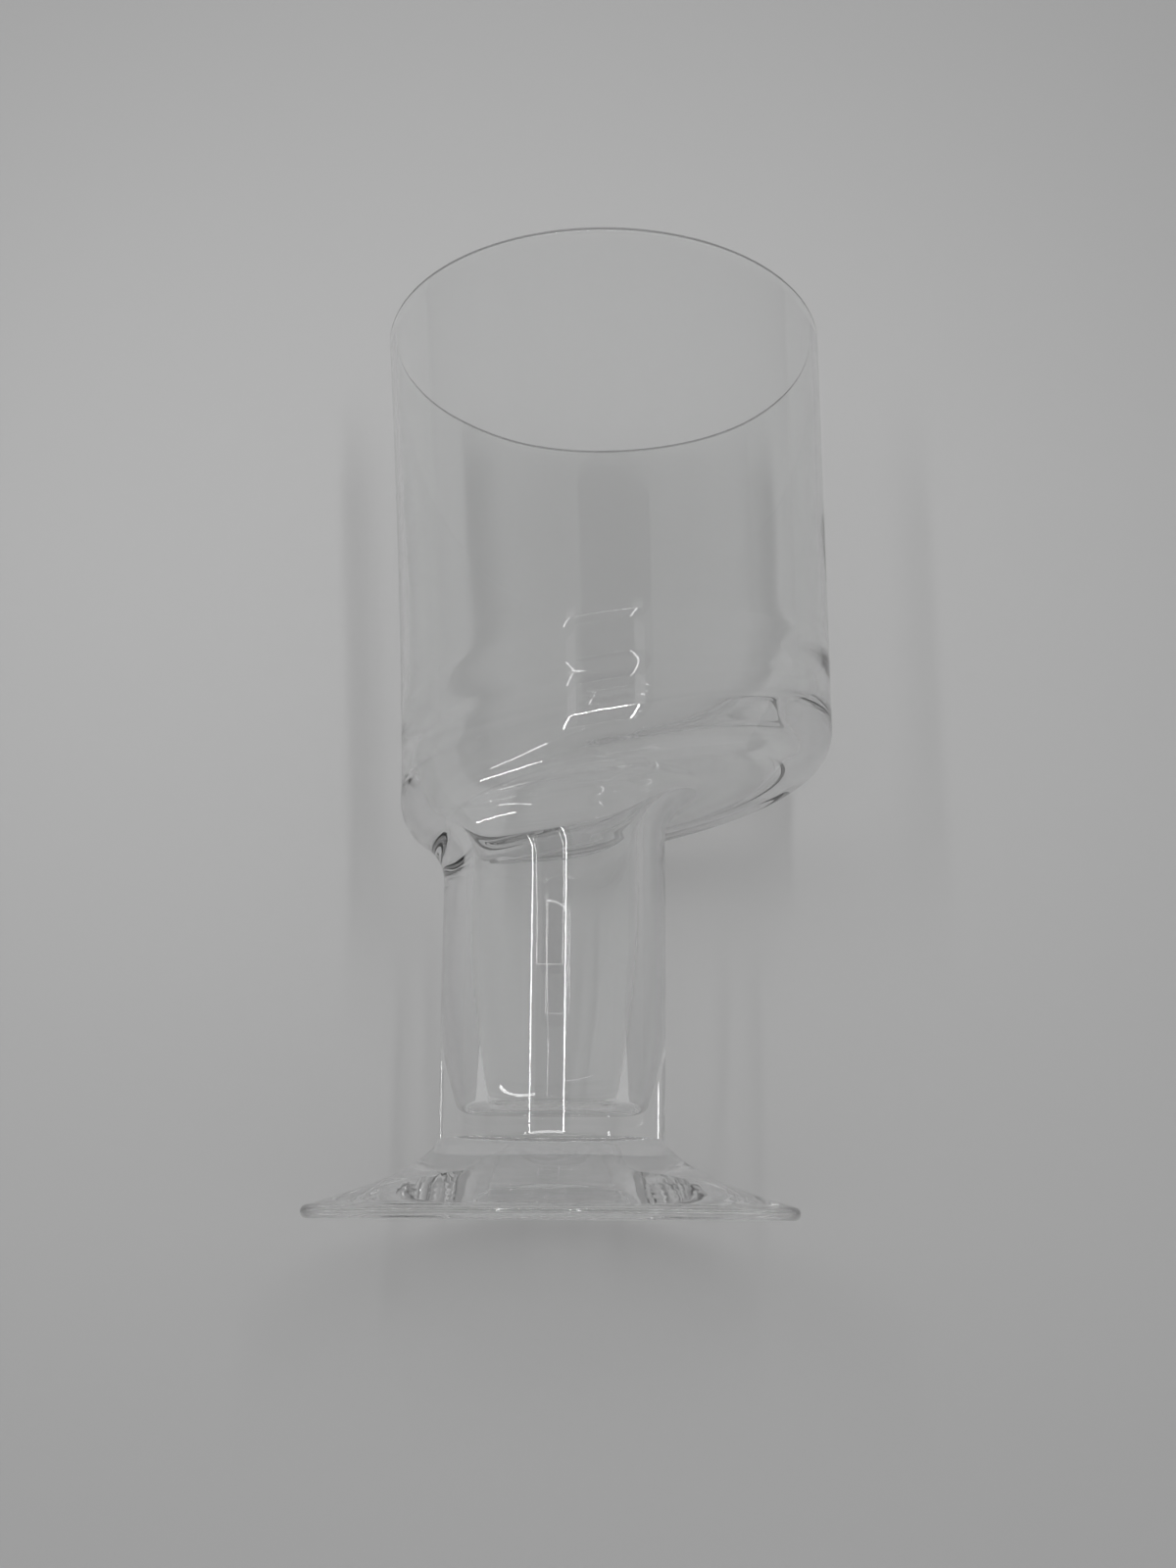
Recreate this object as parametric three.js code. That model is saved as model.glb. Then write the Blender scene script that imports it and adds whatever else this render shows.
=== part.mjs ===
// A clear drinking glass with an off-centre bowl, in three pieces that were joined hot: a flared foot, a thick
// hollow stem on the foot's axis, and a bowl set to one side of the stem, whose sloping floor opens into the stem.
// Millimetres, +Z up. The origin is the centre of the foot's flat underside, on the stem's axis.
// +X points to the side where the bowl overhangs the stem.
import * as THREE from "three";

// Driving dimensions
const HEIGHT = 160;
const FOOT_DIAMETER = 81.6;
const FOOT_EDGE = 2.2;
const FOOT_HEIGHT = 12.7;
const FOOT_COLLAR = 0.8;
const FOOT_COLLAR_RISE = 1.2;
const FOOT_SPREAD = 7.6;
const FOOT_EDGE_SLOPE_DEG = 18;
const FOOT_COLLAR_SLOPE_DEG = 45;
const STEM_BASE_DIAMETER = 37.6;
const STEM_TOP_DIAMETER = 38.4;
const STEM_FLOOR = 4;
const STEM_WALL_BASE = 8;
const STEM_WALL_TOP = 4.9;
const STEM_FLOOR_FILLET = 2.4;
const BOWL_DIAMETER = 76;
const RIM_DIAMETER = 81.4;
const BACK_SHOULDER = 7.9;
const UNDERSIDE_HEIGHT = 67.7;
const UNDERSIDE_SLOPE_DEG = 10.3;
const UNDER_FILLET = 9;
const CORNER_ROUND = 8;
const FLOOR_THICKNESS = 4.2;
const FLOOR_ROUND = 12;
const BOWL_WALL_BASE = 3.3;
const WALL_THINNING = 8;
const RIM_WALL = 1.2;
const NECK_LAND = 1.5;

// How finely round shapes are cut
const AROUND = 48;
const ARC_STEPS = 6;
const WALL_STEPS = 5;
const LIP_STEPS = 4;
// The shortest straight run between two bends, and how late the bowl's wall starts to lean out
const LEAST_STRAIGHT = 0.8;
const WALL_FLARE_POWER = 1.3;

// Radii and centres that follow from the sizes above
const FOOT_RADIUS = FOOT_DIAMETER / 2;
const STEM_BASE_RADIUS = STEM_BASE_DIAMETER / 2;
const STEM_TOP_RADIUS = STEM_TOP_DIAMETER / 2;
const BOWL_RADIUS = BOWL_DIAMETER / 2;
const RIM_RADIUS = RIM_DIAMETER / 2;
const UNDERSIDE_SLOPE = Math.tan(THREE.MathUtils.degToRad(UNDERSIDE_SLOPE_DEG));
// The bowl overhangs the stem by the shoulder at the back, and its front wall stands upright
const BOWL_X = BOWL_RADIUS - STEM_TOP_RADIUS - BACK_SHOULDER;
const RIM_X = BOWL_X + BOWL_RADIUS - RIM_RADIUS;

// Outer skin of the bowl, and the inner skin that runs beside it at the wall's thickness
const OUTER = {
  stem: STEM_TOP_RADIUS,
  bowl: BOWL_RADIUS,
  rim: RIM_RADIUS,
  height: UNDERSIDE_HEIGHT,
  stemBend: UNDER_FILLET,
  bowlBend: CORNER_ROUND,
  thinning: 0,
};
const INNER = {
  stem: STEM_TOP_RADIUS - STEM_WALL_TOP,
  bowl: BOWL_RADIUS - BOWL_WALL_BASE,
  rim: RIM_RADIUS - RIM_WALL,
  height: UNDERSIDE_HEIGHT + FLOOR_THICKNESS,
  stemBend: UNDER_FILLET + STEM_WALL_TOP,
  bowlBend: FLOOR_ROUND,
  thinning: BOWL_WALL_BASE - RIM_WALL,
};
const LIP_RADIUS = RIM_WALL / 2;

// Points from 0 to 1 in equal steps
function steps(count) {
  return Array.from({ length: count + 1 }, (_, i) => i / count);
}

// One skin at one angle round the glass, from the stem up to the lip: a bend out of the stem, a straight run on the
// sloping underside, a bend up into the wall, and the wall, which leans out and whose inner skin thins it over its
// lowest part. Where the gap is too narrow for both bends to turn fully, they turn less and make an S.
function skinAt(angle, skin) {
  const outward = new THREE.Vector2(Math.cos(angle), Math.sin(angle));
  const foot = outward.clone().multiplyScalar(skin.stem);
  const corner = outward.clone().multiplyScalar(skin.bowl);
  corner.x += BOWL_X;
  const out = corner.clone().sub(foot);
  const gap = out.length();
  out.divideScalar(gap);

  const bends = skin.stemBend + skin.bowlBend;
  const fullTurn = Math.PI / 2 - Math.atan(UNDERSIDE_SLOPE * out.x);
  const reach = Math.hypot(bends, LEAST_STRAIGHT);
  const narrowTurn = Math.acos((bends - gap) / reach) - Math.atan2(LEAST_STRAIGHT, bends);
  const turn = gap > bends ? fullTurn : Math.min(fullTurn, narrowTurn);
  const straight = (gap - bends * (1 - Math.cos(turn))) / Math.sin(turn);

  const middle = skin.stemBend * (1 - Math.cos(turn)) + (straight / 2) * Math.sin(turn);
  const middleZ = skin.height + UNDERSIDE_SLOPE * (foot.x + middle * out.x);
  const rise = (straight / 2) * Math.cos(turn);
  const startZ = middleZ - rise - skin.stemBend * Math.sin(turn);
  const wallZ = middleZ + rise + skin.bowlBend * Math.sin(turn);

  const along = (distance, z) => new THREE.Vector3(foot.x + out.x * distance, foot.y + out.y * distance, z);
  const points = [];
  for (const t of steps(ARC_STEPS)) {
    const a = turn * t;
    points.push(along(skin.stemBend * (1 - Math.cos(a)), startZ + skin.stemBend * Math.sin(a)));
  }
  for (const t of steps(ARC_STEPS)) {
    const a = turn * (1 - t);
    points.push(along(gap - skin.bowlBend * (1 - Math.cos(a)), wallZ - skin.bowlBend * Math.sin(a)));
  }
  const flare = outward.clone().multiplyScalar(skin.rim - skin.thinning).sub(corner);
  flare.x += RIM_X;
  const wallHeight = HEIGHT - LIP_RADIUS - wallZ;
  const thinShare = WALL_THINNING / wallHeight;
  const thinned = corner.clone().addScaledVector(outward, skin.thinning);
  for (const share of steps(WALL_STEPS)) {
    const t = thinShare + (1 - thinShare) * share;
    const place = thinned.clone().addScaledVector(flare, t ** WALL_FLARE_POWER);
    points.push(new THREE.Vector3(place.x, place.y, wallZ + wallHeight * t));
  }
  return points;
}

// The seam between stem and bowl is level, a short land below where the skins start to bend
const SEAM_HEIGHT = Math.min(skinAt(Math.PI, OUTER)[0].z, skinAt(Math.PI, INNER)[0].z) - NECK_LAND;

// The bowl's whole outline at one angle: up the outside, over the round lip, and down the inside to the seam
function bowlOutline(angle) {
  const outward = new THREE.Vector3(Math.cos(angle), Math.sin(angle), 0);
  const seamPoint = (radius) => outward.clone().multiplyScalar(radius).setZ(SEAM_HEIGHT);
  const lipCentre = outward.clone().multiplyScalar(RIM_RADIUS - LIP_RADIUS);
  lipCentre.x += RIM_X;
  lipCentre.z = HEIGHT - LIP_RADIUS;
  const lip = steps(LIP_STEPS)
    .slice(1, -1)
    .map((t) => {
      const a = Math.PI * t;
      const point = lipCentre.clone().addScaledVector(outward, LIP_RADIUS * Math.cos(a));
      point.z += LIP_RADIUS * Math.sin(a);
      return point;
    });
  return [
    seamPoint(OUTER.stem),
    ...skinAt(angle, OUTER),
    ...lip,
    ...skinAt(angle, INNER).reverse(),
    seamPoint(INNER.stem),
  ];
}

// A closed ring-shaped surface through outlines that each close on themselves
function ringSurface(outlines) {
  const count = outlines[0].length;
  const index = [];
  outlines.forEach((_, i) => {
    const here = i * count;
    const next = ((i + 1) % outlines.length) * count;
    for (let j = 0; j < count; j++) {
      const k = (j + 1) % count;
      index.push(here + j, next + j, next + k, here + j, next + k, here + k);
    }
  });
  const geometry = new THREE.BufferGeometry().setFromPoints(outlines.flat());
  geometry.setIndex(index);
  geometry.computeVertexNormals();
  return geometry;
}

// A solid turned about the stem's axis from an outline of [radius, height] points
function turned(outline) {
  const points = outline.map(([radius, height]) => new THREE.Vector2(radius, height));
  return new THREE.LatheGeometry(points, AROUND).rotateX(Math.PI / 2);
}

// Points of a quarter bend between two lines, from the start direction to the end direction
function bend(centre, radius, from, to) {
  return steps(ARC_STEPS).map((t) => {
    const a = from + (to - from) * t;
    return [centre[0] + radius * Math.cos(a), centre[1] + radius * Math.sin(a)];
  });
}

function bowlGeometry() {
  const angles = Array.from({ length: AROUND }, (_, i) => (2 * Math.PI * i) / AROUND);
  return ringSurface(angles.map(bowlOutline));
}

// A wall that widens from its base and stands upright at its top
function easingWall(base, low, top, high) {
  return steps(WALL_STEPS).map((t) => [base + (top - base) * (2 * t - t * t), low + (high - low) * t]);
}

// A round cup with a thick floor: the hollow inside narrows to a round bottom and is open to the bowl
function stemGeometry() {
  const floorZ = FOOT_HEIGHT + STEM_FLOOR;
  const hollowBase = STEM_BASE_RADIUS - STEM_WALL_BASE;
  const fillet = Math.min(STEM_FLOOR_FILLET, hollowBase);
  const baseLean = Math.atan((2 * (INNER.stem - hollowBase)) / (SEAM_HEIGHT - floorZ - fillet));
  const bendCentre = [hollowBase - fillet * Math.cos(baseLean), floorZ + fillet];
  const floorBend = bend(bendCentre, fillet, -baseLean, -Math.PI / 2);
  return turned([
    [0, FOOT_HEIGHT],
    ...easingWall(STEM_BASE_RADIUS, FOOT_HEIGHT, STEM_TOP_RADIUS, SEAM_HEIGHT),
    ...easingWall(hollowBase, floorBend[0][1], INNER.stem, SEAM_HEIGHT).reverse(),
    ...floorBend.slice(1),
    [0, floorZ],
  ]);
}

// A step of the foot's spread, at a slope, up towards the axis
function spreadStep(slopeDeg) {
  const slope = THREE.MathUtils.degToRad(slopeDeg);
  return new THREE.Vector2(-Math.cos(slope), Math.sin(slope)).multiplyScalar(FOOT_SPREAD);
}

// A disc with a round edge, drawn up in a hollow curve to a low collar under the stem
function footGeometry() {
  const edge = FOOT_EDGE / 2;
  const edgeTop = new THREE.Vector2(FOOT_RADIUS - edge, FOOT_EDGE);
  const collar = new THREE.Vector2(STEM_BASE_RADIUS + FOOT_COLLAR, FOOT_HEIGHT - FOOT_COLLAR_RISE);
  const sweep = new THREE.CubicBezierCurve(
    edgeTop,
    edgeTop.clone().add(spreadStep(FOOT_EDGE_SLOPE_DEG)),
    collar.clone().sub(spreadStep(FOOT_COLLAR_SLOPE_DEG)),
    collar,
  );
  return turned([
    [0, 0],
    ...bend([FOOT_RADIUS - edge, edge], edge, -Math.PI / 2, Math.PI / 2),
    ...sweep.getPoints(2 * ARC_STEPS).slice(1).map((point) => [point.x, point.y]),
    [STEM_BASE_RADIUS, FOOT_HEIGHT],
    [0, FOOT_HEIGHT],
  ]);
}

// Each piece is the same clear glass
function glassPiece(name, geometry) {
  const glass = new THREE.MeshStandardMaterial({
    color: 0xe9eeee,
    roughness: 0.02,
    metalness: 0,
    transparent: true,
    opacity: 0.35,
  });
  const mesh = new THREE.Mesh(geometry, glass);
  mesh.name = name;
  return mesh;
}

const glass = new THREE.Group();
glass.add(glassPiece("foot", footGeometry()));
glass.add(glassPiece("stem", stemGeometry()));
glass.add(glassPiece("bowl", bowlGeometry()));

export default glass;
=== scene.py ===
# %% [markdown]
# # A water glass with an off-centre bowl
# The real object is clear glass and nothing else: a round foot, a thick hollow stem, and a bowl
# that sits to one side of the stem. The pieces were joined while hot, so no seam shows. This lesson
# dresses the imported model: each piece is modelled again with a fine, smooth surface, in the same
# place and at the same size.

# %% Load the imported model
import math

import bmesh
import bpy
from mathutils import Matrix, Vector
from mathutils.geometry import interpolate_bezier


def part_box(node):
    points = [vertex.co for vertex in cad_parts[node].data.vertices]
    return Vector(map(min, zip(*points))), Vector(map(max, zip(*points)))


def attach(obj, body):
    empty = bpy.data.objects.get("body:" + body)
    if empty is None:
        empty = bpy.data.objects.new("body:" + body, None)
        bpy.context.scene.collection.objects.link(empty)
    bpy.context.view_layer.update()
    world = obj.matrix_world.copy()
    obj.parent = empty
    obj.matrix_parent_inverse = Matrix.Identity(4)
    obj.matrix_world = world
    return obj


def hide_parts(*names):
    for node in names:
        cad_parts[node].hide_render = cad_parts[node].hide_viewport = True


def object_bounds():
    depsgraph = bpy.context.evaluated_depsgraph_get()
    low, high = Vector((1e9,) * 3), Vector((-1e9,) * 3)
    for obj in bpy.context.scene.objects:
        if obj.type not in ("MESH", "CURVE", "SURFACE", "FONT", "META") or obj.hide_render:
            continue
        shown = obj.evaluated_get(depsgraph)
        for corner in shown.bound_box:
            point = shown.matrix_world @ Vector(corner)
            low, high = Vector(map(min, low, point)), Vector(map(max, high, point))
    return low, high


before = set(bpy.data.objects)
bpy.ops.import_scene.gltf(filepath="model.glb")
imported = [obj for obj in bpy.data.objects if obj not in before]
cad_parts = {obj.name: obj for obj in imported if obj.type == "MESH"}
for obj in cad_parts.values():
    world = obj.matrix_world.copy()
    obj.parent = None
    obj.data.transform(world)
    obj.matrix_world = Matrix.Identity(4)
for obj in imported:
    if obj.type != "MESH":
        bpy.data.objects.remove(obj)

MM = 0.001
cad_low, cad_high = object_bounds()
print("pieces of the packed model:", sorted(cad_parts))
print("size in mm:", [round(side / MM, 1) for side in cad_high - cad_low])

# %% [markdown]
# ## The camera
# The picture is taken from close by, with the eye level with the table that the foot stands on,
# looking up at the bowl. A camera can be aimed with a constraint, but here its place and its three
# turns are known, so they are written as one matrix. A wide view from near by gives the strong
# perspective: the rim is seen from below, and the foot's underside is one straight line.

# %% Camera at the photograph's place
EYE = Vector((-0.4, -267.8, -0.2)) * MM
LOOK_UP_DEG = 15.58
LOOK_RIGHT_DEG = 1.30
ROLL_DEG = 0.32
LENS_MM = 36.0
SENSOR_MM = 36.0
NEAREST = 10 * MM

scene = bpy.context.scene
scene.view_settings.view_transform = "Standard"
camera = bpy.data.objects.new("camera", bpy.data.cameras.new("camera"))
scene.collection.objects.link(camera)
scene.camera = camera
camera.data.sensor_width = SENSOR_MM
camera.data.lens = LENS_MM
camera.data.clip_start = NEAREST
turn_right = Matrix.Rotation(-math.radians(LOOK_RIGHT_DEG), 4, "Z")
tilt_up = Matrix.Rotation(math.radians(90 + LOOK_UP_DEG), 4, "X")
roll = Matrix.Rotation(math.radians(ROLL_DEG), 4, "Z")
camera.matrix_world = Matrix.Translation(EYE) @ turn_right @ tilt_up @ roll
print("camera at", [round(side / MM, 1) for side in EYE], "mm, lens", LENS_MM, "mm")

# %% [markdown]
# ## The stage
# Glass shows what is behind it, so the stage matters more than usual. The glass stands on a pale
# floor, and a pale sheet close behind it catches the soft shadows that give clear glass its form.
# The camera is level with the floor, so the floor is seen edge on and the sheet fills the picture.
# Two plain squares of matt paper are enough. Both let light pass, so that neither shades the other,
# and the sheet is also clear from behind, so that the glass can be looked at from all sides.

# %% Which rays carry light
def light_rays(material):
    """A socket that is 1 for rays that light a matt surface, and 0 for rays that carry a picture."""
    nodes = material.node_tree.nodes
    path = nodes.new("ShaderNodeLightPath")
    either = nodes.new("ShaderNodeMath")
    either.operation = "MAXIMUM"
    material.node_tree.links.new(path.outputs["Is Shadow Ray"], either.inputs[0])
    material.node_tree.links.new(path.outputs["Is Diffuse Ray"], either.inputs[1])
    return either.outputs["Value"]


# %% Matt paper for the stage
def matt_paper(name, colour):
    """Matt paper, with a second shader ready to be mixed in: quite clear."""
    paper = bpy.data.materials.new(name)
    paper.use_nodes = True
    nodes = paper.node_tree.nodes
    links = paper.node_tree.links
    matt = nodes["Principled BSDF"]
    matt.inputs["Base Color"].default_value = colour
    matt.inputs["Roughness"].default_value = 1.0
    matt.inputs["Specular IOR Level"].default_value = 0.0
    clear = nodes.new("ShaderNodeBsdfTransparent")
    mix = nodes.new("ShaderNodeMixShader")
    links.new(matt.outputs["BSDF"], mix.inputs[1])
    links.new(clear.outputs["BSDF"], mix.inputs[2])
    links.new(mix.outputs["Shader"], nodes["Material Output"].inputs["Surface"])
    return paper, mix.inputs["Fac"]


def paper_square(name, place, paper):
    """A square sheet, laid by a matrix that turns, scales and moves it."""
    sheet = bmesh.new()
    bmesh.ops.create_grid(sheet, x_segments=1, y_segments=1, size=1.0, matrix=place)
    mesh = bpy.data.meshes.new(name)
    sheet.to_mesh(mesh)
    sheet.free()
    mesh.materials.append(paper)
    square = bpy.data.objects.new(name, mesh)
    scene.collection.objects.link(square)


# %% Floor
FLOOR_PALE = (0.62, 0.62, 0.62, 1.0)
FLOOR_Z = -0.2 * MM
FLOOR_HALF = 6000 * MM

floor_paper, floor_clear = matt_paper("pale_floor", FLOOR_PALE)
floor_paper.node_tree.links.new(light_rays(floor_paper), floor_clear)
paper_square("floor", Matrix.Translation((0, 0, FLOOR_Z)) @ Matrix.Scale(FLOOR_HALF, 4), floor_paper)
print("floor at", round(FLOOR_Z / MM, 1), "mm")

# %% Backdrop
SHEET_PALE = (0.44, 0.44, 0.44, 1.0)
SHEET_GAP = 2 * MM
SHEET_HALF = 250 * MM
SHEET_LOW = -120 * MM
SHEET_HIGH = 420 * MM

sheet_paper, sheet_clear = matt_paper("pale_sheet", SHEET_PALE)
facing = sheet_paper.node_tree.nodes.new("ShaderNodeNewGeometry")
either = sheet_paper.node_tree.nodes.new("ShaderNodeMath")
either.operation = "MAXIMUM"
sheet_paper.node_tree.links.new(facing.outputs["Backfacing"], either.inputs[0])
sheet_paper.node_tree.links.new(light_rays(sheet_paper), either.inputs[1])
sheet_paper.node_tree.links.new(either.outputs["Value"], sheet_clear)
sheet_y = cad_high.y + SHEET_GAP
sheet_middle = Matrix.Translation((0, sheet_y, (SHEET_LOW + SHEET_HIGH) / 2))
upright = Matrix.Rotation(math.radians(90), 4, "X")
sheet_size = Matrix.Diagonal((SHEET_HALF, (SHEET_HIGH - SHEET_LOW) / 2, 1, 1))
paper_square("backdrop", sheet_middle @ upright @ sheet_size, sheet_paper)
print("backdrop", round(sheet_y / MM, 1), "mm behind the stem's axis")

# %% [markdown]
# ## The light
# A plain soft light comes from all round. Clear glass shows mainly by what it mirrors and bends,
# and in a room that is equally pale everywhere it would vanish. So the room has pale walls and a
# darker ceiling, which shades the thick parts. A world shader knows which way a ray goes, so one
# background with a ramp over the height does this, and camera and glass see the same room. The
# light that falls on matt paper is set apart and is the same from all sides.

# %% A room with pale walls and a darker ceiling
AROUND_LIGHT = 0.42
CEILING_LIGHT = 0.22
WALL_END = 0.10
CEILING_START = 0.50
PAPER_LIGHT = 0.68

world = bpy.data.worlds.new("studio")
scene.world = world
world.use_nodes = True
room = world.node_tree
surround = room.nodes["Background"]
surround.inputs["Color"].default_value = (1, 1, 1, 1)
way = room.nodes.new("ShaderNodeTexCoord")
way_parts = room.nodes.new("ShaderNodeSeparateXYZ")
height_ramp = room.nodes.new("ShaderNodeMapRange")
height_ramp.inputs["From Min"].default_value = WALL_END
height_ramp.inputs["From Max"].default_value = CEILING_START
height_ramp.inputs["To Min"].default_value = AROUND_LIGHT
height_ramp.inputs["To Max"].default_value = CEILING_LIGHT
path = room.nodes.new("ShaderNodeLightPath")
level = room.nodes.new("ShaderNodeMix")
level.inputs["B"].default_value = PAPER_LIGHT
room.links.new(way.outputs["Generated"], way_parts.inputs["Vector"])
room.links.new(way_parts.outputs["Z"], height_ramp.inputs["Value"])
room.links.new(path.outputs["Is Diffuse Ray"], level.inputs["Factor"])
room.links.new(height_ramp.outputs["Result"], level.inputs["A"])
room.links.new(level.outputs["Result"], surround.inputs["Strength"])
print("light of the walls:", AROUND_LIGHT, "light on the paper:", PAPER_LIGHT)

# %% [markdown]
# Two soft uprights on the camera's side light the scene and throw the soft double shadow on the
# sheet. An area lamp is a flat rectangle with an even face, which is what such a lamp is. Its
# spread is kept narrow, so that the floor in front of it doesn't burn out.

# %% Soft lamps that light the scene
LAMPS_X = -28 * MM
LAMPS_Y = -268 * MM
LAMPS_APART = 158 * MM
LEFT_AND_RIGHT = (-0.5, 0.5)
SOFT_BEHIND = 5 * MM
SOFT_Z = 150 * MM
SOFT_WIDTH = 10 * MM
SOFT_LENGTH = 140 * MM
SOFT_RADIANCE = 19.0
SOFT_SPREAD_DEG = 110


def flat_lamp(name, middle, width, height, radiance, facing):
    """A flat lamp that shines one way. Its power follows from its size and the radiance of its face."""
    lamp = bpy.data.lights.new(name, "AREA")
    lamp.shape = "RECTANGLE"
    lamp.size = width
    lamp.size_y = height
    lamp.energy = radiance * math.pi * width * height
    strip = bpy.data.objects.new(name, lamp)
    strip.matrix_world = Matrix.Translation(middle) @ facing
    strip.visible_camera = False
    scene.collection.objects.link(strip)
    return strip


for side in LEFT_AND_RIGHT:
    middle = (LAMPS_X + side * LAMPS_APART, LAMPS_Y - SOFT_BEHIND, SOFT_Z)
    soft = flat_lamp("soft_upright", middle, SOFT_WIDTH, SOFT_LENGTH, SOFT_RADIANCE, upright)
    soft.data.spread = math.radians(SOFT_SPREAD_DEG)
    soft.visible_glossy = False
    soft.visible_transmission = False
print("soft lamps", round(LAMPS_APART / MM), "mm apart")

# %% [markdown]
# In front of them stands a rectangle of narrow strips, with a weak glow above its uprights. Its
# mirror images are the crisp bright lines on the stem and the short bright strokes at the bowl's
# base. Strips this bright would light the scene harshly, so they only show in the glass. They show
# there as mirror images alone: a lamp's shader can count how often a ray was mirrored, and a strip
# that is not seen past the glass is then not seen through it either. The stem's curved wall makes
# the image of an upright about 25 times narrower, so the uprights are 5 mm wide: a render with few
# samples would miss a finer line. One short strip lies low beside the foot.

# %% Lamps that only show as mirror images
FULL_STRENGTH = 1.0


def mirror_lamp(name, middle, width, height, radiance, facing):
    """A flat lamp that is dark until a ray has been mirrored at least once."""
    strip = flat_lamp(name, middle, width, height, radiance, facing)
    strip.visible_diffuse = False
    strip.data.use_nodes = True
    nodes = strip.data.node_tree.nodes
    links = strip.data.node_tree.links
    path = nodes.new("ShaderNodeLightPath")
    mirrored = nodes.new("ShaderNodeMath")
    mirrored.operation = "MINIMUM"
    mirrored.inputs[1].default_value = FULL_STRENGTH
    links.new(path.outputs["Glossy Depth"], mirrored.inputs[0])
    links.new(mirrored.outputs["Value"], nodes["Emission"].inputs["Strength"])


# %% A rectangle of narrow strips, a glow above it and a low strip
FRAME_LOW = 17.2 * MM
FRAME_HIGH = 128 * MM
UPRIGHT_WIDTH = 5.0 * MM
UPRIGHT_RADIANCE = 30.0
LOW_CROSS = (FRAME_LOW, 0.8 * MM, 8.0)
HIGH_CROSS = (FRAME_HIGH, 2.6 * MM, 110.0)
GLOW_WIDTH = 24 * MM
GLOW_STEP = 14 * MM
GLOW_RADIANCES = (1.6, 1.0, 0.5)
LOW_STRIP_MIDDLE = Vector((-38, -30, 2)) * MM
LOW_STRIP_LENGTH = 47 * MM
LOW_STRIP_WIDTH = 3 * MM
LOW_STRIP_TURN_DEG = 145
LOW_STRIP_RADIANCE = 30.0

for side in LEFT_AND_RIGHT:
    across = LAMPS_X + side * LAMPS_APART
    middle = (across, LAMPS_Y, (FRAME_HIGH + FRAME_LOW) / 2)
    mirror_lamp("upright_strip", middle, UPRIGHT_WIDTH, FRAME_HIGH - FRAME_LOW, UPRIGHT_RADIANCE, upright)
    for step, radiance in enumerate(GLOW_RADIANCES):
        middle = (across, LAMPS_Y, FRAME_HIGH + GLOW_STEP * (step + 0.5))
        mirror_lamp("glow", middle, GLOW_WIDTH, GLOW_STEP, radiance, upright)
for cross_z, cross_height, radiance in (LOW_CROSS, HIGH_CROSS):
    middle = (LAMPS_X, LAMPS_Y, cross_z)
    mirror_lamp("cross_strip", middle, LAMPS_APART, cross_height, radiance, upright)
face_up = Matrix.Rotation(math.radians(LOW_STRIP_TURN_DEG), 4, "Z") @ Matrix.Rotation(math.pi, 4, "X")
mirror_lamp("low_strip", LOW_STRIP_MIDDLE, LOW_STRIP_LENGTH, LOW_STRIP_WIDTH, LOW_STRIP_RADIANCE, face_up)

# %% [markdown]
# A photographer of glass sets a dark card behind the camera, and its mirror images draw the dark
# shapes in the thick parts. The card is matt paper too. It shows only to rays that the glass has
# mirrored at least once, as the strips do, so that the room stays pale behind the glass from every
# side.

# %% Dark card behind the camera
CARD_DARK = (0.04, 0.04, 0.04, 1.0)
CARD_MIDDLE = Vector((0, -330, 90)) * MM
CARD_HALF_WIDTH = 100 * MM
CARD_HALF_HEIGHT = 150 * MM
BEFORE_FIRST_MIRRORING = 0.5

card_paper, card_clear = matt_paper("dark_card", CARD_DARK)
card_path = card_paper.node_tree.nodes.new("ShaderNodeLightPath")
unmirrored = card_paper.node_tree.nodes.new("ShaderNodeMath")
unmirrored.operation = "LESS_THAN"
unmirrored.inputs[1].default_value = BEFORE_FIRST_MIRRORING
card_paper.node_tree.links.new(card_path.outputs["Glossy Depth"], unmirrored.inputs[0])
card_paper.node_tree.links.new(unmirrored.outputs["Value"], card_clear)
card_size = Matrix.Diagonal((CARD_HALF_WIDTH, CARD_HALF_HEIGHT, 1, 1))
paper_square("card", Matrix.Translation(CARD_MIDDLE) @ upright @ card_size, card_paper)
print("card", round(-CARD_MIDDLE.y / MM), "mm in front of the stem's axis")

# %% [markdown]
# ## The glass
# Clear glass bends light, at an index of 1.5, and this glass is colourless. Glass that was worked
# hot is never quite even: faint streaks run along the way it was drawn, up the wall, and they
# ripple the lines that it mirrors. A noise texture that is stretched upwards gives these streaks to
# the bump, the tint and the polish, all very weakly. Light from the lamps is let through as a soft
# shadow, darker where a wall is met at a slant, because the bright patterns that real glass throws
# take far too many samples to trace.

# %% Streaks in the glass
STREAKS_PER_METRE = 150.0
STREAK_STRETCH = (1.0, 1.0, 0.12)
STREAK_DETAIL = 1.0
BUMP_DISTANCE = 0.0006 * MM
TINT_DARK = (0.966, 0.970, 0.969, 1)
TINT_LIGHT = (0.984, 0.986, 0.986, 1)
POLISH_START = 0.5
POLISH_ROUGHNESS = 0.012


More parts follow.
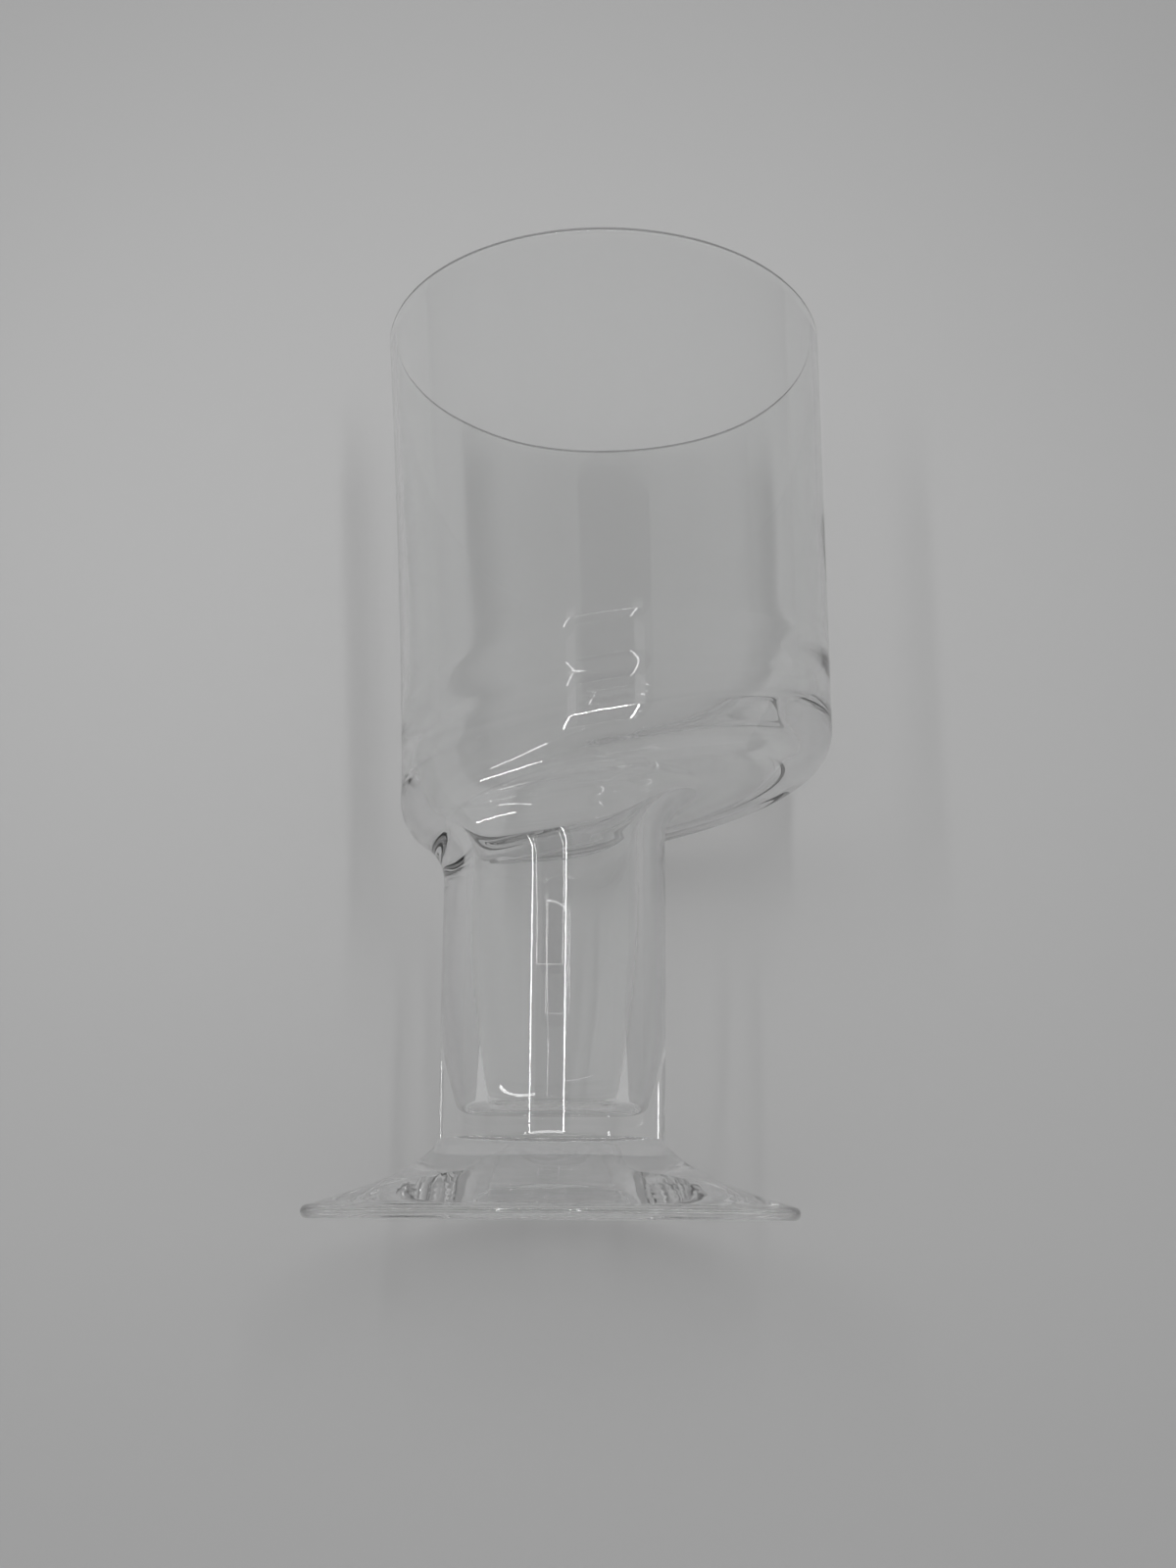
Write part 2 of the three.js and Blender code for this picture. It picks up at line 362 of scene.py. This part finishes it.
def add_streaks(glass, body):
    """Weak upright streaks in the glass's bump and polish; gives back the colour of their tint."""
    nodes = glass.node_tree.nodes
    links = glass.node_tree.links
    place = nodes.new("ShaderNodeTexCoord")
    stretch = nodes.new("ShaderNodeMapping")
    stretch.inputs["Scale"].default_value = STREAK_STRETCH
    streaks = nodes.new("ShaderNodeTexNoise")
    streaks.inputs["Scale"].default_value = STREAKS_PER_METRE
    streaks.inputs["Detail"].default_value = STREAK_DETAIL
    ripple = nodes.new("ShaderNodeBump")
    ripple.inputs["Distance"].default_value = BUMP_DISTANCE
    tint = nodes.new("ShaderNodeValToRGB")
    tint.color_ramp.elements[0].color = TINT_DARK
    tint.color_ramp.elements[1].color = TINT_LIGHT
    polish = nodes.new("ShaderNodeMapRange")
    polish.inputs["From Min"].default_value = POLISH_START
    polish.inputs["To Max"].default_value = POLISH_ROUGHNESS
    links.new(place.outputs["Object"], stretch.inputs["Vector"])
    links.new(stretch.outputs["Vector"], streaks.inputs["Vector"])
    links.new(streaks.outputs["Fac"], ripple.inputs["Height"])
    links.new(streaks.outputs["Fac"], tint.inputs["Fac"])
    links.new(streaks.outputs["Fac"], polish.inputs["Value"])
    links.new(ripple.outputs["Normal"], body.inputs["Normal"])
    links.new(polish.outputs["Result"], body.inputs["Roughness"])
    return tint.outputs["Color"]


# %% [markdown]
# The rim shows as a thin dark line. Light that enters the round lip is led down inside the thin
# wall and thrown to and fro hundreds of times. Following it takes far too many steps, so the line is
# painted shade instead: over the last half millimetre the glass is painted grey and lets less light
# through. A ramp over the height does this in the material, and so the painted line follows the rim
# from every side.

# %% Lip with painted shade
# Painted shade at the rim: from the first height up to the second the glass is painted grey and made less
# clear.
LIP_SHADE_START = cad_high.z - 0.50 * MM
LIP_SHADE_FULL = cad_high.z - 0.25 * MM
LIP_SHADED_SHARE = 0.25


def add_painted_lip_shade(glass, body, colour):
    """Paint shade on the glass just below the rim: grey, and letting less light through."""
    nodes = glass.node_tree.nodes
    links = glass.node_tree.links
    place = nodes.new("ShaderNodeTexCoord")
    parts = nodes.new("ShaderNodeSeparateXYZ")
    lip = nodes.new("ShaderNodeMapRange")
    lip.inputs["From Min"].default_value = LIP_SHADE_START
    lip.inputs["From Max"].default_value = LIP_SHADE_FULL
    lip.inputs["To Min"].default_value = 1.0
    lip.inputs["To Max"].default_value = LIP_SHADED_SHARE
    # Painted shade: the glass's tint is scaled down to grey near the rim, and its clear share with it.
    painted_grey = nodes.new("ShaderNodeVectorMath")
    painted_grey.operation = "SCALE"
    links.new(place.outputs["Object"], parts.inputs["Vector"])
    links.new(parts.outputs["Z"], lip.inputs["Value"])
    links.new(colour, painted_grey.inputs["Vector"])
    links.new(lip.outputs["Result"], painted_grey.inputs["Scale"])
    links.new(painted_grey.outputs["Vector"], body.inputs["Base Color"])
    links.new(lip.outputs["Result"], body.inputs["Transmission Weight"])


# %% Clear glass
GLASS_INDEX = 1.5
SLANT_BLEND = 0.5
SHADOW_FACING = (0.97, 0.97, 0.97, 1)
SHADOW_SLANT = (0.35, 0.35, 0.35, 1)
SLANT_START = 0.45
SLANT_END = 0.95


def clear_glass():
    """Colourless glass with weak streaks, painted shade at the lip, and a soft shadow."""
    glass = bpy.data.materials.new("clear_glass")
    glass.use_nodes = True
    nodes = glass.node_tree.nodes
    links = glass.node_tree.links
    body = nodes["Principled BSDF"]
    body.inputs["IOR"].default_value = GLASS_INDEX
    add_painted_lip_shade(glass, body, add_streaks(glass, body))
    slant = nodes.new("ShaderNodeLayerWeight")
    slant.inputs["Blend"].default_value = SLANT_BLEND
    shade = nodes.new("ShaderNodeValToRGB")
    shade.color_ramp.elements[0].position = SLANT_START
    shade.color_ramp.elements[0].color = SHADOW_FACING
    shade.color_ramp.elements[1].position = SLANT_END
    shade.color_ramp.elements[1].color = SHADOW_SLANT
    shadow = nodes.new("ShaderNodeBsdfTransparent")
    mix = nodes.new("ShaderNodeMixShader")
    links.new(slant.outputs["Facing"], shade.inputs["Fac"])
    links.new(shade.outputs["Color"], shadow.inputs["Color"])
    links.new(light_rays(glass), mix.inputs["Fac"])
    links.new(body.outputs["BSDF"], mix.inputs[1])
    links.new(shadow.outputs["BSDF"], mix.inputs[2])
    links.new(mix.outputs["Shader"], nodes["Material Output"].inputs["Surface"])
    return glass


GLASS = clear_glass()
print("clear glass of index", GLASS_INDEX)

# %% [markdown]
# A join made hot can't be seen. The pieces stay closed solids, so the faces where two of them meet
# get a material of their own that is quite clear and bends nothing. Light is thrown about many
# times inside thick glass, so a ray is followed further than usual before it is given up.

# %% Fused joints, and rays that go on for long
MOST_BOUNCES = 26


def fused_joint():
    """The inside of a join made hot: nothing shows there."""
    joint = bpy.data.materials.new("fused_joint")
    joint.use_nodes = True
    nodes = joint.node_tree.nodes
    nodes.remove(nodes["Principled BSDF"])
    clear = nodes.new("ShaderNodeBsdfTransparent")
    joint.node_tree.links.new(clear.outputs["BSDF"], nodes["Material Output"].inputs["Surface"])
    return joint


JOINT = fused_joint()
scene.cycles.max_bounces = MOST_BOUNCES
scene.cycles.transmission_bounces = MOST_BOUNCES
scene.cycles.glossy_bounces = MOST_BOUNCES
scene.cycles.transparent_max_bounces = MOST_BOUNCES
print("a ray is followed for", MOST_BOUNCES, "steps")

# %% [markdown]
# ## From an outline to a piece
# Foot and stem are round, so each is an outline that is spun once about the stem's axis, as on a
# lathe. The spin leaves double points on the axis, so these are merged before the faces are turned
# outwards. Faces are shaded smooth, and only real edges and the edges of a joint stay sharp.

# %% Outlines and the spin
AROUND = 256
SAME_POINT = 0.001 * MM


def share_of(count):
    """Numbers from 0 to 1 in equal steps."""
    return [step / count for step in range(count + 1)]


def bend(centre, radius, start_deg, end_deg, count):
    """Points of an arc in an outline, from one direction to another."""
    turns = [math.radians(start_deg + (end_deg - start_deg) * share) for share in share_of(count)]
    return [(centre[0] + radius * math.cos(turn), centre[1] + radius * math.sin(turn)) for turn in turns]


def turned(outline):
    """Spin an outline of (radius, height) points once round the stem's axis."""
    shape = bmesh.new()
    points = [shape.verts.new((radius, 0, height)) for radius, height in outline]
    lines = [shape.edges.new(pair) for pair in zip(points, points[1:])]
    bmesh.ops.spin(
        shape,
        geom=points + lines,
        cent=(0, 0, 0),
        axis=(0, 0, 1),
        angle=2 * math.pi,
        steps=AROUND,
        use_merge=True,
    )
    bmesh.ops.remove_doubles(shape, verts=shape.verts, dist=SAME_POINT)
    return shape


# %% Finish of a piece
SHARP_DEG = 40
LEVEL_WITHIN = 0.002 * MM


def lies_level(face, height):
    """True for a face that lies flat at a height."""
    return all(abs(point.co.z - height) < LEVEL_WITHIN for point in face.verts)


def finish_piece(shape, name, node, joint_heights):
    """Turn the faces outwards, smooth them, mark the joint faces, attach the piece and hide the imported
    node it replaces.
    """
    bmesh.ops.recalc_face_normals(shape, faces=shape.faces)
    for face in shape.faces:
        face.smooth = True
        is_joint = any(lies_level(face, height) for height in joint_heights)
        face.material_index = 1 if is_joint else 0
    for edge in shape.edges:
        kinds = {face.material_index for face in edge.link_faces}
        edge.smooth = len(kinds) == 1 and edge.calc_face_angle(0) < math.radians(SHARP_DEG)
    mesh = bpy.data.meshes.new(name)
    shape.to_mesh(mesh)
    shape.free()
    mesh.materials.append(GLASS)
    mesh.materials.append(JOINT)
    piece = bpy.data.objects.new(name, mesh)
    scene.collection.objects.link(piece)
    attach(piece, "root")
    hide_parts(node)
    print(name, "has", len(mesh.polygons), "faces")


# %% [markdown]
# ## The foot
# The foot is a solid disc that was pressed and drawn up while hot: a thin round edge, a hollow
# curve up to the stem, and a low collar. A cylinder with bevels would give the edge but not the
# curve, so the curve is a Bezier in the outline. Tools leave faint rings on such a foot, and it is
# never quite flat, so the curve is moved by a few hundredths of a millimetre. These waves make the
# fine bright lines in the foot.

# %% Foot outline
FOOT_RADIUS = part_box("foot")[1].x
FOOT_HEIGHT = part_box("foot")[1].z
FOOT_EDGE = 2.2 * MM
FOOT_COLLAR = 0.8 * MM
FOOT_COLLAR_RISE = 1.2 * MM
FOOT_SPREAD = 7.6 * MM
FOOT_EDGE_SLOPE_DEG = 18
FOOT_COLLAR_SLOPE_DEG = 45
STEM_BASE_RADIUS = 18.8 * MM
EDGE_STEPS = 16
SWEEP_POINTS = 65


def spread_step(slope_deg):
    """A step of the foot's hollow curve, at a slope, up towards the axis."""
    slope = math.radians(slope_deg)
    return Vector((-math.cos(slope), math.sin(slope))) * FOOT_SPREAD


edge_radius = FOOT_EDGE / 2
edge_top = Vector((FOOT_RADIUS - edge_radius, FOOT_EDGE))
collar = Vector((STEM_BASE_RADIUS + FOOT_COLLAR, FOOT_HEIGHT - FOOT_COLLAR_RISE))
sweep = interpolate_bezier(
    edge_top,
    edge_top + spread_step(FOOT_EDGE_SLOPE_DEG),
    collar - spread_step(FOOT_COLLAR_SLOPE_DEG),
    collar,
    SWEEP_POINTS,
)
foot_outline = [(0, 0)]
foot_outline += bend((FOOT_RADIUS - edge_radius, edge_radius), edge_radius, -90, 90, EDGE_STEPS)
foot_outline += [(point.x, point.y) for point in sweep[1:]]
foot_outline += [(STEM_BASE_RADIUS, FOOT_HEIGHT), (0, FOOT_HEIGHT)]
print("foot", round(2 * FOOT_RADIUS / MM, 1), "mm across,", round(FOOT_HEIGHT / MM, 1), "mm high")

# %% Foot with tool rings
RING_HEIGHT = 0.007 * MM
RING_SPACING = 2.8 * MM
SWELL_HEIGHT = 0.04 * MM
SWELLS_ROUND = 5


def away_from_ends(radius):
    """0 at both ends of the foot's hollow curve, and 1 half way between them."""
    half = (FOOT_RADIUS - collar.x) / 2
    return (FOOT_RADIUS - radius) * (radius - collar.x) / half ** 2


foot = turned(foot_outline)
for point in foot.verts:
    radius = point.co.xy.length
    if point.co.z > FOOT_EDGE and radius > collar.x:
        angle = math.atan2(point.co.y, point.co.x)
        rings = RING_HEIGHT * math.sin(2 * math.pi * radius / RING_SPACING)
        swells = SWELL_HEIGHT * math.sin(SWELLS_ROUND * angle + radius / RING_SPACING)
        point.co.z += away_from_ends(radius) * (rings + swells)
finish_piece(foot, "glass_foot", "foot", [FOOT_HEIGHT])

# %% [markdown]
# ## The stem
# The stem is a thick tube with a solid floor, open to the bowl above. It widens a little towards
# the top, and its hollow narrows to a round bottom. Both walls stand upright where they meet the
# bowl, so that the join shows no bend. A tube blown by hand is a little uneven inside, so the
# hollow gets a slow wave round and along it.

# %% Uneven inside
WAVE_DEPTH = 0.022 * MM
WAVE_LENGTH = 46 * MM
WAVES_ROUND = 3
CROSS_WAVE_SHARE = 0.6
CROSS_WAVES_ROUND = 5
CROSS_WAVE_PITCH = 1.7
CROSS_WAVE_SHIFT = 1.0


def uneven(angle, height):
    """How far the inside of the glass swells in or out at one place."""
    along = 2 * math.pi * height / WAVE_LENGTH
    wave = math.sin(WAVES_ROUND * angle + along)
    cross_wave = math.sin(CROSS_WAVES_ROUND * angle - CROSS_WAVE_PITCH * along + CROSS_WAVE_SHIFT)
    return WAVE_DEPTH * (wave + CROSS_WAVE_SHARE * cross_wave)


# %% Stem
STEM_TOP_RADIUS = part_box("stem")[1].x
SEAM_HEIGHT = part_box("stem")[1].z
STEM_WALL_BASE = 8.0 * MM
STEM_WALL_TOP = 4.9 * MM
STEM_FLOOR = 4.0 * MM
STEM_FLOOR_ROUND = 2.4 * MM
FLOOR_BEND_STEPS = 20
WALL_STEPS = 32

hollow_base = STEM_BASE_RADIUS - STEM_WALL_BASE
hollow_top = STEM_TOP_RADIUS - STEM_WALL_TOP
floor_z = FOOT_HEIGHT + STEM_FLOOR
hollow_low = floor_z + STEM_FLOOR_ROUND
base_slope_deg = math.degrees(math.atan(2 * (hollow_top - hollow_base) / (SEAM_HEIGHT - hollow_low)))


def easing_wall(base, low, top, high):
    """A wall that widens from its base and stands upright at its top."""
    return [
        (base + (top - base) * (2 * share - share * share), low + (high - low) * share)
        for share in share_of(WALL_STEPS)
    ]


floor_centre_x = hollow_base - STEM_FLOOR_ROUND * math.cos(math.radians(base_slope_deg))
floor_centre = (floor_centre_x, hollow_low)
floor_bend = bend(floor_centre, STEM_FLOOR_ROUND, -base_slope_deg, -90, FLOOR_BEND_STEPS)
stem_outline = [(0, FOOT_HEIGHT)]
stem_outline += easing_wall(STEM_BASE_RADIUS, FOOT_HEIGHT, STEM_TOP_RADIUS, SEAM_HEIGHT)
stem_outline += easing_wall(hollow_base, floor_bend[0][1], hollow_top, SEAM_HEIGHT)[::-1]
stem_outline += floor_bend[1:]
stem_outline += [(0, floor_z)]
stem = turned(stem_outline)
for point in stem.verts:
    radius = point.co.xy.length
    if 0 < radius < hollow_top + STEM_WALL_TOP / 2 and point.co.z > FOOT_HEIGHT + LEVEL_WITHIN:
        angle = math.atan2(point.co.y, point.co.x)
        point.co.xy *= 1 + uneven(angle, point.co.z) / hollow_top
finish_piece(stem, "glass_stem", "stem", [FOOT_HEIGHT, SEAM_HEIGHT])

# %% [markdown]
# ## The bowl
# The bowl is not round about one axis: its neck is centred on the stem, its wall on an axis to one
# side, and its rim in between, and its underside slopes. A spin can't make that. So the bowl starts
# as a circle at the neck, and that ring is extruded again and again, up the outside, over the lip
# and down the inside, and each new ring is moved to its own outline. Each outline bends out of the
# stem, runs along the sloping underside, and bends up into the wall. The wall is thick at its base
# and thins over the first 8 mm. Above that it is even: a wall that thinned all the way up would act
# as a prism, and the far rim would show too high through it.

# %% Sizes of the bowl
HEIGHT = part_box("bowl")[1].z
RIM_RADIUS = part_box("bowl")[1].y
RIM_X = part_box("bowl")[1].x - RIM_RADIUS
RIM_WALL = 1.2 * MM
BOWL_RADIUS = 38.0 * MM
BOWL_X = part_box("bowl")[1].x - BOWL_RADIUS
BOWL_WALL_BASE = 3.3 * MM
UNDERSIDE_HEIGHT = 67.7 * MM
UNDERSIDE_SLOPE_DEG = 10.3
UNDERSIDE_SLOPE = math.tan(math.radians(UNDERSIDE_SLOPE_DEG))
UNDER_FILLET = 9 * MM
CORNER_ROUND = 8 * MM
FLOOR_THICKNESS = 4.2 * MM
FLOOR_ROUND = 12 * MM
LIP_RADIUS = RIM_WALL / 2
OUTSIDE = {
    "stem": STEM_TOP_RADIUS,
    "bowl": BOWL_RADIUS,
    "rim": RIM_RADIUS,
    "height": UNDERSIDE_HEIGHT,
    "stem_bend": UNDER_FILLET,
    "bowl_bend": CORNER_ROUND,
    "thinning": 0,
}
INSIDE = {
    "stem": hollow_top,
    "bowl": BOWL_RADIUS - BOWL_WALL_BASE,
    "rim": RIM_RADIUS - RIM_WALL,
    "height": UNDERSIDE_HEIGHT + FLOOR_THICKNESS,
    "stem_bend": UNDER_FILLET + STEM_WALL_TOP,
    "bowl_bend": FLOOR_ROUND,
    "thinning": BOWL_WALL_BASE - RIM_WALL,
}
print("bowl", round(BOWL_X / MM, 1), "mm to the side of the stem, rim", round(RIM_X / MM, 1), "mm")

# %% How far the bends of a skin turn
LEAST_STRAIGHT = 0.8 * MM


def bend_turn(gap, bends, slope):
    """How far both bends turn: fully on to the sloping underside, or less where the gap is too narrow."""
    full_turn = math.pi / 2 - math.atan(slope)
    if gap > bends:
        return full_turn
    reach = math.hypot(bends, LEAST_STRAIGHT)
    narrow_turn = math.acos((bends - gap) / reach) - math.atan2(LEAST_STRAIGHT, bends)
    return min(full_turn, narrow_turn)


# %% How the wall thins
WALL_THINNING = 8 * MM
THIN_STEPS = 8


def eased(share):
    """Up from 0 to 1 with a level start and end, and 1 from there on."""
    share = min(1, share)
    return share * share * (3 - 2 * share)


def wall_shares(wall_height):
    """Shares of the wall's height, fine where it thins and wider above, and the share that thins."""
    thin_share = WALL_THINNING / wall_height
    thin_part = [thin_share * share for share in share_of(THIN_STEPS)[1:]]
    even_part = [thin_share + (1 - thin_share) * share for share in share_of(WALL_STEPS)[1:]]
    return thin_part + even_part, thin_share


# %% Where a skin of the bowl runs
WALL_FLARE_POWER = 1.3
ARC_STEPS = 20
STRAIGHT_STEPS = 6


def skin_at(angle, stem, bowl, rim, height, stem_bend, bowl_bend, thinning):
    """One skin of the bowl at one angle, from the stem up to the lip."""
    outward = Vector((math.cos(angle), math.sin(angle)))
    neck = outward * stem
    corner = outward * bowl + Vector((BOWL_X, 0))
    gap = (corner - neck).length
    out = (corner - neck) / gap
    bends = stem_bend + bowl_bend
    turn = bend_turn(gap, bends, UNDERSIDE_SLOPE * out.x)
    straight = (gap - bends * (1 - math.cos(turn))) / math.sin(turn)
    middle = stem_bend * (1 - math.cos(turn)) + straight / 2 * math.sin(turn)
    middle_z = height + UNDERSIDE_SLOPE * (neck.x + middle * out.x)
    rise = straight / 2 * math.cos(turn)
    neck_z = middle_z - rise - stem_bend * math.sin(turn)
    wall_z = middle_z + rise + bowl_bend * math.sin(turn)

    turns = [turn * share for share in share_of(ARC_STEPS)]
    lower = [(stem_bend * (1 - math.cos(now)), neck_z + stem_bend * math.sin(now)) for now in turns]
    turns.reverse()
    upper = [(gap - bowl_bend * (1 - math.cos(now)), wall_z - bowl_bend * math.sin(now)) for now in turns]
    run_start = Vector(lower[-1])
    run_end = Vector(upper[0])
    run = [tuple(run_start.lerp(run_end, share)) for share in share_of(STRAIGHT_STEPS)[1:-1]]
    points = [(neck + out * distance).to_3d() + Vector((0, 0, z)) for distance, z in lower + run + upper]

    flare = outward * (rim - thinning) + Vector((RIM_X, 0)) - corner
    wall_height = HEIGHT - LIP_RADIUS - wall_z
    shares, thin_share = wall_shares(wall_height)
    for share in shares:
        thinned = thinning * eased(share / thin_share)
        wall_point = (corner + flare * share ** WALL_FLARE_POWER + outward * thinned).to_3d()
        wall_point.z = wall_z + wall_height * share
        points.append(wall_point)
    return points


# %% The bowl's whole outline at one angle
LIP_STEPS = 12


def bowl_outline(angle):
    """Up the outside, over the round lip and down the uneven inside to the seam."""
    outward = Vector((math.cos(angle), math.sin(angle), 0))
    seam = Vector((0, 0, SEAM_HEIGHT))
    lip_centre = outward * (RIM_RADIUS - LIP_RADIUS) + Vector((RIM_X, 0, HEIGHT - LIP_RADIUS))
    lip_bend = bend((0, 0), LIP_RADIUS, 0, 180, LIP_STEPS)
    lip = [lip_centre + outward * across + Vector((0, 0, up)) for across, up in lip_bend]
    inside = skin_at(angle, **INSIDE)[::-1] + [outward * INSIDE["stem"] + seam]
    for point in inside:
        fade = min(1, (HEIGHT - point.z) / WAVE_LENGTH)
        point += outward * uneven(angle, point.z) * fade
    return [outward * OUTSIDE["stem"] + seam] + skin_at(angle, **OUTSIDE) + lip[1:-1] + inside


# %% Bowl, extruded ring by ring
bowl = bmesh.new()
place_of = bowl.verts.layers.int.new("place")
ring = bmesh.ops.create_circle(bowl, cap_ends=False, segments=AROUND, radius=STEM_TOP_RADIUS)["verts"]
for place, point in enumerate(ring):
    point[place_of] = place
outlines = [bowl_outline(2 * math.pi * place / AROUND) for place in range(AROUND)]
ring_edges = list(bowl.edges)
for station in range(len(outlines[0])):
    if station > 0:
        grown = bmesh.ops.extrude_edge_only(bowl, edges=ring_edges)["geom"]
        ring = {part for part in grown if isinstance(part, bmesh.types.BMVert)}
        grown_edges = [part for part in grown if isinstance(part, bmesh.types.BMEdge)]
        ring_edges = [edge for edge in grown_edges if ring.issuperset(edge.verts)]
    for point in ring:
        point.co = outlines[point[place_of]][station]
bmesh.ops.bridge_loops(bowl, edges=[edge for edge in bowl.edges if edge.is_boundary])
bowl.verts.layers.int.remove(place_of)
finish_piece(bowl, "glass_bowl", "bowl", [SEAM_HEIGHT])
